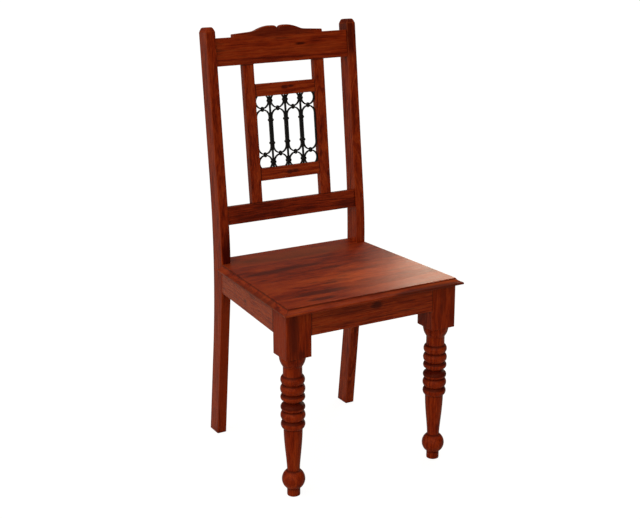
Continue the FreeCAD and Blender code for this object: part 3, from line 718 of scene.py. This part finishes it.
def stained_wood(name, turn, shift, pith, tone, marks, gloss=0.27, shine=0.17, end_grain=False, contrast=1.0):
    """Reddish brown stained hardwood under a satin lacquer.

    turn lays the grain along x, shift picks another part of the timber, pith is how far the
    middle of the tree lies from the piece, marks are knots, streaks and patches of painted
    light of this piece. A mark whose tint is added is painted light: it only makes the figure
    under it lighter.
    """
    material, tree = new_material(name)
    place = tree.place()
    grain = tree.grain(place, turn, shift)
    edge = tree.attribute("edge")

    wander = tree.noise(grain, (0.0045, 0.02, 0.02), 2.0)
    ripple = tree.noise(grain, (0.02, 0.09, 0.09), 2.0)
    split = tree.add("ShaderNodeSeparateXYZ", {}, {0: grain}, None)
    across = Socket(tree, split.outputs[1]) + pith[0] + (wander - 0.5) * 70.0
    deep = Socket(tree, split.outputs[2]) + pith[1] + (ripple - 0.5) * 9.0
    ring = (across * across + deep * deep) ** 0.5
    years = tree.add("ShaderNodeTexNoise", {"noise_dimensions": "1D"},
                     {"W": ring * 0.16, "Scale": 1.0, "Detail": 4.0, "Roughness": 0.62})
    fibre = tree.noise(grain, (0.018, 0.55, 0.55), 4.0, 0.6)
    fleck = tree.noise(grain, (0.028, 0.21, 0.21), 3.0, 0.65)
    pores = tree.noise(grain, (0.05, 1.3, 1.3), 2.0)
    cloud = tree.noise(grain, (0.009, 0.030, 0.030), 3.0, 0.55)
    blush = tree.noise(grain, (0.012, 0.035, 0.035), 2.0)

    figure = (years - 0.5) * 1.2 + (fleck - 0.5) * 0.9 + (fibre - 0.5) * 1.3 + (cloud - 0.5) * 1.1
    stops = ((0.08, DEEP), (0.34, RED), (0.58, WARM), (0.90, AMBER))
    colour = tree.add("ShaderNodeValToRGB", {"stops": stops}, {0: figure * contrast + 0.5 + tone})
    streak = tree.step(years * 0.55 + cloud * 0.75 + (fibre - 0.5) * 0.35, 0.78, 0.90)
    colour = tree.blend(streak * 0.75, colour, PURPLE)
    colour = tree.blend(tree.step(pores, 0.56, 0.70) * 0.45, colour, DEEP)
    colour = tree.blend(tree.step(blush, 0.52, 0.75) * 0.25, colour, AMBER)
    if end_grain:
        colour = end_ticks(tree, place, colour)
    colour = marked(tree, place, colour, marks, (fibre - 0.5) * 0.7 + (ripple - 0.5) * 0.8)

    rub = tree.noise(place, 70.0)
    worn = tree.step(edge * (0.45 + rub * 1.1), 0.70, 1.15)
    colour = tree.blend(worn * 0.30, colour, WORN)
    # Below zero the edge value darkens the wood: at joints and in grooves, and as painted shade on the turned
    # rings' upper sides and under the seat's mould step and underside.
    groove = tree.step(edge, -0.1, -1.0)
    colour = tree.blend(groove * 0.80, colour, DUSK)
    smear = tree.noise(place, 16.0)
    rough = gloss + (smear - 0.5) * 0.16 + (fibre - 0.5) * 0.24 + worn * 0.12 + groove * 0.15
    bump = tree.bump(fibre * 0.55 + pores * 0.30 + years * 0.35, 0.35, 0.35 * MM)
    surface = tree.surface(Base_Color=colour, Roughness=rough, Normal=bump, Specular_IOR_Level=shine,
                           Specular_Tint=(1.0, 0.7, 0.5, 1.0))
    return closed(material, tree, surface)


def raw_wood(name):
    """Plain sawn wood of the corner blocks."""
    material, tree = new_material(name)
    grain = tree.grain(tree.place(), (0.0, 0.0, math.radians(45)))
    fibre = tree.noise(grain, (0.03, 0.5, 0.5), 4.0, 0.6)
    band = tree.noise(grain, (0.01, 0.12, 0.12))
    stops = ((0.25, (0.16, 0.06, 0.024)), (0.55, (0.27, 0.12, 0.05)), (0.8, (0.38, 0.19, 0.085)))
    colour = tree.add("ShaderNodeValToRGB", {"stops": stops}, {0: fibre * 0.6 + band * 0.5})
    surface = tree.surface(Base_Color=colour, Roughness=0.72 + (fibre - 0.5) * 0.2,
                           Normal=tree.bump(fibre, 0.4, 0.4 * MM))
    return closed(material, tree, surface)


def black_iron(name):
    """Forged iron, blackened and a little shiny."""
    material, tree = new_material(name)
    place = tree.place()
    dents = tree.noise(place, 260.0)
    grit = tree.noise(place, 1400.0, 2.0)
    patch = tree.noise(place, 55.0, 2.0)
    colour = tree.blend(tree.step(patch, 0.45, 0.75) * 0.6, (0.0030, 0.0022, 0.0026), (0.010, 0.006, 0.006))
    rough = 0.42 + (grit - 0.5) * 0.2 + (patch - 0.5) * 0.15
    surface = tree.surface(Base_Color=colour, Roughness=rough, Specular_IOR_Level=0.22,
                           Normal=tree.bump(dents + grit * 0.25, 0.5, 0.4 * MM))
    return closed(material, tree, surface)


def zinc_steel(name):
    """Zinc-plated screws."""
    material, tree = new_material(name)
    spangle = tree.noise(tree.place(), 500.0, 2.0)
    colour = tree.blend(spangle, (0.38, 0.35, 0.27), (0.62, 0.60, 0.52))
    surface = tree.surface(Base_Color=colour, Roughness=0.3 + spangle * 0.2, Metallic=1.0)
    return closed(material, tree, surface)


def pale_floor(name):
    """A white sweep: bright to the camera, with only a little light thrown back on the chair."""
    material, tree = new_material(name)
    seen = tree.add("ShaderNodeLightPath", output="Is Camera Ray")
    grey = tree.blend(seen, (0.50, 0.49, 0.46), (0.93, 0.93, 0.93))
    ground = tree.surface(Base_Color=grey, Roughness=0.9)
    glow = tree.add("ShaderNodeEmission", {}, {0: (1.0, 1.0, 1.0, 1.0), 1: 1.13})
    both = tree.add("ShaderNodeMixShader", {}, {0: seen * 0.82, 1: ground, 2: glow})
    return closed(material, tree, both)


# Iron grille. Each tree draws one kind of strip flat, x across and y up, and repeats it over the cells.

def geometry_tree(name, **sizes):
    """A Geometry Nodes tree with named sizes, and a dictionary of its inputs."""
    group = bpy.data.node_groups.new(name, "GeometryNodeTree")
    group.interface.new_socket("Geometry", in_out="OUTPUT", socket_type="NodeSocketGeometry")
    sizes = {"Count": CELLS, "Pitch": CELL_PITCH, "Depth": STRIP_DEPTH, **sizes}
    for size, value in sizes.items():
        kind = "NodeSocketInt" if isinstance(value, int) else "NodeSocketFloat"
        group.interface.new_socket(size, in_out="INPUT", socket_type=kind).default_value = value
    group.interface.new_socket("Finish", in_out="INPUT", socket_type="NodeSocketMaterial")
    tree = Tree(group)
    entry = tree.add("NodeGroupInput", output=None)
    named = {output.name: Socket(tree, output) for output in entry.outputs if output.name}
    return tree, named


def combine(tree, x=0.0, y=0.0, z=0.0):
    return tree.add("ShaderNodeCombineXYZ", {}, {0: x, 1: y, 2: z})


def moved(tree, shape, **how):
    """A shape with a Translation, Rotation or Scale."""
    return tree.add("GeometryNodeTransform", {}, {"Geometry": shape, **how})


def rounded_outline(tree, width, height, radius, steps):
    """A rectangle with round corners, as a curve."""
    outline = tree.add("GeometryNodeCurvePrimitiveQuadrilateral", {"mode": "RECTANGLE"},
                       {0: width, 1: height})
    return tree.add("GeometryNodeFilletCurve", {"mode": "POLY"},
                    {"Curve": outline, "Count": steps, "Radius": radius, "Limit Radius": True})


def swept(tree, path, section, ends=False):
    """A section along a path in the flat."""
    upright = tree.add("GeometryNodeSetCurveNormal", {"mode": "Z_UP"}, {0: path})
    return tree.add("GeometryNodeCurveToMesh", {},
                    {"Curve": upright, "Profile Curve": section, "Fill Caps": ends})


def strip(tree, path, width, depth, ends=False):
    """A bar with eased arrises along a path."""
    return swept(tree, path, rounded_outline(tree, width, depth, STRIP_ARRIS, 3), ends)


def repeat(tree, named, shape):
    """Copies of a shape side by side, centred on the middle of the grille."""
    first = combine(tree, (named["Count"] - 1) * named["Pitch"] * -0.5)
    points = tree.add("GeometryNodeMeshLine", {"mode": "OFFSET", "count_mode": "TOTAL"},
                      {"Count": named["Count"], "Start Location": first,
                       "Offset": combine(tree, named["Pitch"])})
    return tree.add("GeometryNodeInstanceOnPoints", {}, {"Points": points, "Instance": shape})


def mirrored_pair(tree, shape, offset):
    """A shape set above the middle and, turned over, as far below it."""
    above = moved(tree, shape, Translation=combine(tree, 0.0, offset))
    below = moved(tree, above, Rotation=(0.0, 0.0, math.pi))
    join = tree.add("GeometryNodeJoinGeometry", output=None)
    for half in (above, below):
        tree.tree.links.new(half.output, join.inputs[0])
    return Socket(tree, join.outputs[0])


def close_tree(tree, named, shape):
    """End a tree: its shape over the cells, in a pair if it has an offset, real, smooth and finished."""
    row = repeat(tree, named, shape)
    if "Offset" in named:
        row = mirrored_pair(tree, row, named["Offset"])
    real = tree.add("GeometryNodeRealizeInstances", {}, {0: row})
    smooth = tree.add("GeometryNodeSetShadeSmooth", {}, {0: real})
    finished = tree.add("GeometryNodeSetMaterial", {}, {"Geometry": smooth, "Material": named["Finish"]})
    tree.add("NodeGroupOutput", {}, {0: finished})
    return tree.tree


def loop_tree():
    """Tall loops: a rectangle whose corners are rounded until its ends are half circles."""
    straight = 2 * (CELL_COLLAR - STRIP / 2 - STRIP_RADIUS)
    tree, named = geometry_tree("grille_loops", Radius=STRIP_RADIUS, Straight=straight, Strip=STRIP)
    path = rounded_outline(tree, named["Radius"] * 2, named["Straight"] + named["Radius"] * 2,
                           named["Radius"] * 0.9995, 14)
    return close_tree(tree, named, strip(tree, path, named["Strip"], named["Depth"]))


def ring_tree():
    """Open rings above and below the loops, their ends let into the cross rails."""
    mouth = math.asin((GRILLE_HALF + ANCHOR - RING_CENTRE) / STRIP_RADIUS)
    tree, named = geometry_tree("grille_rings", Radius=STRIP_RADIUS, Strip=STRIP, Offset=RING_CENTRE,
                                Mouth=mouth)
    path = tree.add("GeometryNodeCurveArc", {"mode": "RADIUS"},
                    {"Resolution": 48, "Radius": named["Radius"], "Start Angle": math.pi - named["Mouth"],
                     "Sweep Angle": named["Mouth"] * 2 + math.pi})
    return close_tree(tree, named, strip(tree, path, named["Strip"], named["Depth"], True))


def bar_tree():
    """Straight bars between the cells."""
    tree, named = geometry_tree("grille_bars", Count=CELLS - 1, Width=BAR_WIDTH, Half=GRILLE_HALF + ANCHOR)
    path = tree.add("GeometryNodeCurvePrimitiveLine", {},
                    {0: combine(tree, 0.0, named["Half"] * -1.0), 1: combine(tree, 0.0, named["Half"])})
    return close_tree(tree, named, strip(tree, path, named["Width"], named["Depth"], True))


def collar_tree():
    """Rounded bands that bind strips together, in one row above the middle and one below."""
    tree, named = geometry_tree("grille_collars", Count=CELLS - 1, Offset=MID_COLLAR,
                                Bundle=BAR_WIDTH + 2 * STRIP, Band=6.0, Swell=2.0, Corner=2.2, Turn=0.0)
    path = rounded_outline(tree, named["Bundle"] + 1.2, named["Depth"] + 0.8, named["Corner"], 6)
    circle = tree.add("GeometryNodeCurvePrimitiveCircle", {"mode": "RADIUS"},
                      {"Resolution": 14, "Radius": 1.0})
    swell = moved(tree, circle, Scale=combine(tree, named["Swell"], named["Band"] / 2, 1.0))
    laid = moved(tree, swept(tree, path, swell), Rotation=(math.pi / 2, 0.0, 0.0))
    return close_tree(tree, named, moved(tree, laid, Rotation=combine(tree, 0.0, 0.0, named["Turn"])))


def grow(name, group, finish, **sizes):
    """Run a tree with its sizes and keep its result as a plain mesh on the leaning back."""
    holder = placed(name + "_tree", bpy.data.meshes.new(name + "_tree"))
    modifier = holder.modifiers.new("grow", "NODES")
    modifier.node_group = group
    wanted = {"Finish": finish, **sizes}
    for item in group.interface.items_tree:
        if item.in_out == "INPUT" and item.name in wanted:
            modifier[item.identifier] = wanted[item.name]
    bpy.context.view_layer.update()
    evaluated = holder.evaluated_get(bpy.context.evaluated_depsgraph_get())
    mesh = bpy.data.meshes.new_from_object(evaluated)
    holder.modifiers.clear()
    bpy.data.objects.remove(holder)
    mesh.name = name
    mesh.polygons.foreach_set("material_index", [0] * len(mesh.polygons))
    for vert in mesh.vertices:
        vert.co = on_back(vert.co.x, PANEL_MIDDLE - vert.co.z, GRILLE_MIDDLE + vert.co.y)
    mesh.set_sharp_from_angle(angle=SHARP_BEND)
    return placed(name, mesh)


# Putting the chair together

def dress(piece, nodes, finish):
    """Give a piece its finish and let it ride on the chair in place of its nodes."""
    piece.data.materials.clear()
    piece.data.materials.append(finish)
    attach(piece, "root")
    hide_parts(*nodes)


def stain(piece, name, turn, shift, pith, tone, marks, slot="frame_wood", **looks):
    """Stain a piece in a way of its own and let it take the place of the node of that name."""
    dress(piece, [name], stained_wood(f"wood_{name}", turn, shift, pith, tone, marks, **looks))


def mark(place, reach, strength, tint=PURPLE):
    """A knot, a streak or a patch of painted light: its middle, its reach in x, depth and height, its
    strength and its colour.
    """
    return tuple(place), tuple(part * MM for part in reach), strength, tint


def on_panel(x, height, half_length, half_height, strength, tint=PURPLE):
    """A mark on the front of the back panel."""
    return mark(on_back(x, PANEL_FRONT, height), (half_length, 12, half_height), strength, tint)


def on_seat(x, depth, half_length, half_depth, strength, tint=PURPLE):
    """A mark on the top of the seat."""
    return mark(spot(x, depth, SEAT_TOP), (half_length, half_depth, 8), strength, tint)


def make_legs():
    # The warm patch low on the left block's outer face is painted light, lightening it as if more light fell
    # there.
    left_marks = (mark(spot(-203, 0, 395), (14, 14, 75), 0.75), mark(spot(-185, 0, 345), (9, 14, 12), 0.7),
                  mark(spot(-LEG_SPREAD, 31, 385), (20, 30, 60), 0.85, WARM))
    right_marks = (mark(spot(186, 0, 402), (8, 14, 38), 0.4), mark(spot(214, 0, 380), (7, 14, 60), 0.35))
    for word, side, shift, tone, marks in (("left", -1, (310, 40, 12), -0.02, left_marks),
                                           ("right", 1, (905, 120, 66), -0.03, right_marks)):
        name = f"front_leg_{word}"
        stain(front_leg(f"turned_{name}", side), name, UPRIGHT, shift, (12.0, 46.0), tone, marks,
              shine=0.10, contrast=0.7)


def make_posts():
    # The warm patch on the lower front of the left post is painted light, lightening it as if more light fell
    # there.
    left_marks = (mark(on_back(-181, 0, 18), (16, 20, 62), 0.9, DUSK),
                  mark(spot(-180, 388, 190), (30, 50, 220), 0.8, WARM))
    right_marks = (mark(on_back(182, 12, 512), (18, 40, 66), 0.8, DUSK),
                   mark(on_back(180, 0, 300), (6, 12, 40), 0.35))
    for word, side, shift, tone, marks in (("left", -1, (120, 75, 30), -0.06, left_marks),
                                           ("right", 1, (1430, 20, 95), -0.02, right_marks)):
        name = f"back_post_{word}"
        stain(back_post(f"sawn_{name}", side), name, UPRIGHT, shift, (22.0, 70.0), tone, marks, shine=0.12)


def make_aprons():
    half_height = (SEAT_UNDER - APRON_BOTTOM) / 2
    middle = APRON_BOTTOM + half_height
    half = APRON_THICKNESS / 2
    front_marks = (mark(spot(8, 1, 426), (18, 14, 11), 0.95), mark(spot(-60, 1, 424), (85, 14, 10), 0.40),
                   mark(spot(-40, 1, 398), (110, 14, 5), 0.35))
    for word, end, depth, shift, pith, tone, marks in (
            ("front", LEG_SPREAD - BLOCK_SIDE, FRONT_APRON_SETBACK + half, (640, 210, 37), (18.0, 64.0), 0.02,
             front_marks),
            ("rear", POST_INNER, REAR_APRON_BACK - half, (1640, 250, 7), (20.0, 70.0), 0.0, ())):
        name = f"{word}_apron"
        board = bar(name, spot(-end, depth, middle), spot(end, depth, middle),
                    (0, 1, 0), (0, 0, 1), half, half_height)
        stain(board, name, ALONG_X, shift, pith, tone, marks)
    turn = math.atan((LEG_SPREAD - POST_SPREAD) / (KNEE_DEPTH - BLOCK_SIDE))
    reach_into_post = 6
    length = (SEAT_SIDE_END + reach_into_post - BLOCK_SIDE) / math.cos(turn)
    for word, side, shift in (("left", -1, (77, 310, 18)), ("right", 1, (2077, 330, 88))):
        name = f"side_apron_{word}"
        inward = Vector((-side * math.cos(turn), math.sin(turn), 0))
        run = Vector((-side * math.sin(turn), math.cos(turn), 0))
        face = side * LEG_SPREAD
        start = spot(face, BLOCK_SIDE, middle) + inward * half * MM
        board = bar(name, start, start + run * length * MM, inward, (0, 0, 1), half, half_height)
        marks = (mark(spot(face, 220, 408), (20, 12, 9), 0.6), mark(spot(face, 180, 432), (20, 26, 5), 0.5))
        stain(board, name, ALONG_Y, shift, (16.0, 58.0), 0.20, marks)


def make_rails():
    lower_knots = (on_panel(-2.5, 196, 10, 5, 0.95), on_panel(13, 197, 9, 4.5, 0.95))
    upper_knots = (on_panel(-3, 400, 11, 5, 0.95), on_panel(14, 401, 9, 4, 0.95))
    for name, end, (low, high), shift, tone, marks in (
            ("lower_back_rail", POST_INNER, LOWER_RAIL, (410, 55, 71), -0.22, ()),
            ("lower_cross_rail", STILE_INNER, LOWER_CROSS, (1210, 35, 21), 0.13, lower_knots),
            ("upper_cross_rail", STILE_INNER, UPPER_CROSS, (1710, 95, 51), 0.0, upper_knots)):
        height = (low + high) / 2
        rail = bar(name, on_back(-end, PANEL_MIDDLE, height), on_back(end, PANEL_MIDDLE, height),
                   BACK_INWARD, BACK_UP, PANEL_HALF, (high - low) / 2)
        stain(rail, name, ALONG_X, shift, (14.0, 52.0), tone, marks)


def make_crest():
    marks = (on_panel(46, 498.5, 16, 3.4, 0.95, DUSK), on_panel(-40, 468, 110, 7, 0.35),
             on_panel(-10, 530, 100, 12, 0.60), on_panel(60, 487, 120, 9, 0.30, AMBER))
    stain(crest_rail("carved_crest_rail"), "crest_rail", ALONG_X, (2510, 15, 31), (25.0, 60.0), -0.02, marks,
          contrast=0.85)


def make_stiles():
    for word, side, shift, knot in (("left", -1, (333, 61, 14), on_panel(-106.2, 233, 4, 13, 0.7)),
                                    ("right", 1, (1333, 81, 44), on_panel(86.3, 231.8, 4.5, 12, 0.75))):
        name = f"back_stile_{word}"
        x = side * (STILE_OUTER + STILE_INNER) / 2
        foot = on_back(x, PANEL_MIDDLE, LOWER_RAIL[1])
        stile = bar(name, foot, on_back(x, PANEL_MIDDLE, CREST_BOTTOM), (1, 0, 0), BACK_INWARD,
                    (STILE_OUTER - STILE_INNER) / 2, PANEL_HALF)
        stain(stile, name, UPRIGHT, shift, (15.0, 48.0), 0.0, (knot,))


def make_seat():
    streaks = [on_seat(*streak) for streak in (
        (-142, 247, 66, 14, 0.85), (-50, 254, 70, 12, 0.8), (14, 213, 34, 10, 0.8), (-47, 111, 24, 7, 0.8),
        (-98, 62, 78, 13, 0.85), (-119, 21, 40, 11, 0.85), (-126, 352, 22, 12, 0.8), (10, 330, 90, 8, 0.35),
        (60, 168, 50, 7, 0.45), (30, 70, 60, 7, 0.4), (98, 228, 26, 9, 0.55), (150, 120, 60, 6, 0.4),
        (30, 300, 60, 8, 0.45))]
    # The two patches that add light to the seat's top are painted light, strongest at its right front, on the
    # side of the lamp.
    marks = (*streaks, mark(spot(140, SEAT_FRONT, 446), (120, 14, 9), 0.75, DUSK),
             mark(spot(-228, 170, 445), (20, 190, 8), 0.45, DUSK), on_seat(165, 80, 200, 140, 0.9, PAINTED_LIGHT),
             on_seat(-20, 150, 90, 26, 0.3, PAINTED_LIGHT), on_seat(-20, 350, 190, 36, 0.65, TAN))
    shifts = ((0, 0, 0), (730, 45, 9), (1460, 90, 27), (2190, 10, 45), (2920, 70, 63))
    tones = (0.03, 0.03, -0.02, -0.05, -0.02)
    for number, (shift, tone) in enumerate(zip(shifts, tones)):
        name = f"seat_board_{number + 1}"
        stain(seat_board(f"moulded_{name}", number), name, ALONG_X, shift, (35.0, 95.0), tone, marks,
              "seat_wood", gloss=0.41, shine=0.25, end_grain=True)


def make_grille():
    iron = black_iron("black_iron")
    cells = range(1, CELLS + 1)
    for word, group, nodes in (
            ("loops", loop_tree(), [f"grille_loop_{n}" for n in cells]),
            ("rings", ring_tree(), [f"grille_ring_{end}_{n}" for end in ("top", "bottom") for n in cells]),
            ("bars", bar_tree(), [f"grille_bar_{side}" for side in ("left", "centre", "right")])):
        dress(grow(f"iron_{word}", group, iron), nodes, iron)
    collars = collar_tree()
    for name, offset, band in (("iron_column_collars_outer", RING_CENTRE, 6.5),
                               ("iron_column_collars_inner", MID_COLLAR, 6.0)):
        row = grow(name, collars, iron, Offset=offset, Band=band)
        dress(row, ["grille_column_collars"], iron)
    stacked = grow("iron_cell_collars", collars, iron, Count=CELLS, Offset=CELL_COLLAR, Bundle=2 * STRIP,
                   Band=6.5, Swell=2.6, Corner=2.8, Turn=math.pi / 2)
    dress(stacked, ["grille_cell_collars"], iron)


def finish_hidden_nodes():
    """The corner blocks and screws keep their own shapes and get finishes."""
    block = raw_wood("sawn_block_wood")
    steel = zinc_steel("zinc_steel")
    for name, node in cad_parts.items():
        if name.startswith(("corner_block", "seat_screws")):
            node.data.materials.clear()
            node.data.materials.append(steel if name.endswith("screws") else block)


# Stage, light and camera

def make_stage():
    mesh = bpy.data.meshes.new("floor")
    reach = 40.0
    mesh.from_pydata([(-reach, -reach, 0), (reach, -reach, 0), (reach, reach, 0), (-reach, reach, 0)], [],
                     [(0, 1, 2, 3)])
    mesh.materials.append(pale_floor("floor"))
    floor = placed("floor", mesh)


def soft_panel(name, place, target, size, power, colour):
    """A soft rectangular light at a place, turned to a target and out of the camera's sight."""
    light = bpy.data.lights.new(name, "AREA")
    light.color = colour
    light.shape = "RECTANGLE"
    light.size, light.size_y = size
    light.energy = power
    lamp = placed(name, light)
    lamp.location = place
    lamp.rotation_euler = (Vector(target) - Vector(place)).to_track_quat("-Z", "Y").to_euler()
    lamp.visible_camera = False


def lobe(tree, sky, direction, low, high):
    """A soft patch of light in the sky: the smooth step of the cosine to its middle."""
    return tree.step(tree.vector("DOT_PRODUCT", sky, direction, 1), low, high)


def make_light():
    world = bpy.data.worlds.new("studio")
    bpy.context.scene.world = world
    world.use_nodes = True
    world.node_tree.nodes.clear()
    tree = Tree(world.node_tree)
    seen = tree.add("ShaderNodeLightPath", output="Is Camera Ray")
    sky = tree.add("ShaderNodeTexCoord", output="Generated")
    window = lobe(tree, sky, (-0.88, -0.46, 0.06), -0.15, 1.0) * 1.22
    ceiling = lobe(tree, sky, (0.0, 0.0, 1.0), 0.45, 1.0) * 0.75
    behind = lobe(tree, sky, (0.45, 0.85, 0.28), 0.3, 0.95) * 0.13
    glow = window + ceiling + behind + 0.01
    room = tree.add("ShaderNodeBackground", {}, {0: (1.0, 0.95, 0.83, 1.0), 1: glow})
    view = tree.add("ShaderNodeBackground", {}, {0: (1.0, 1.0, 1.0, 1.0), 1: 1.0})
    both = tree.add("ShaderNodeMixShader", {}, {0: seen, 1: room, 2: view})
    tree.add("ShaderNodeOutputWorld", {}, {0: both})
    soft_panel("sheen", (0.86, 0.46, 0.72), (0.05, -0.05, 0.457), (0.6, 0.4), 3.6, (1.0, 0.93, 0.74))


def make_camera():
    camera = bpy.data.cameras.new("camera")
    camera.sensor_width = 36.0
    camera.lens = 69.754
    camera.shift_x = -0.0028
    camera.clip_end = 50.0
    holder = placed("camera", camera)
    right = Vector((0.865928, -0.500163, -0.002298))
    up = Vector((0.146288, 0.248868, 0.957426))
    turn = Matrix((right, up, right.cross(up))).transposed()
    holder.matrix_world = Matrix.Translation(spot(-1399.93, -2195.84, 1317.63)) @ turn.to_4x4()
    bpy.context.scene.camera = holder


make_camera()
make_light()
make_stage()
make_legs()
make_posts()
make_aprons()
make_rails()
make_crest()
make_stiles()
make_seat()
make_grille()
finish_hidden_nodes()
bpy.context.scene.view_settings.view_transform = "Standard"

bpy.context.view_layer.update()
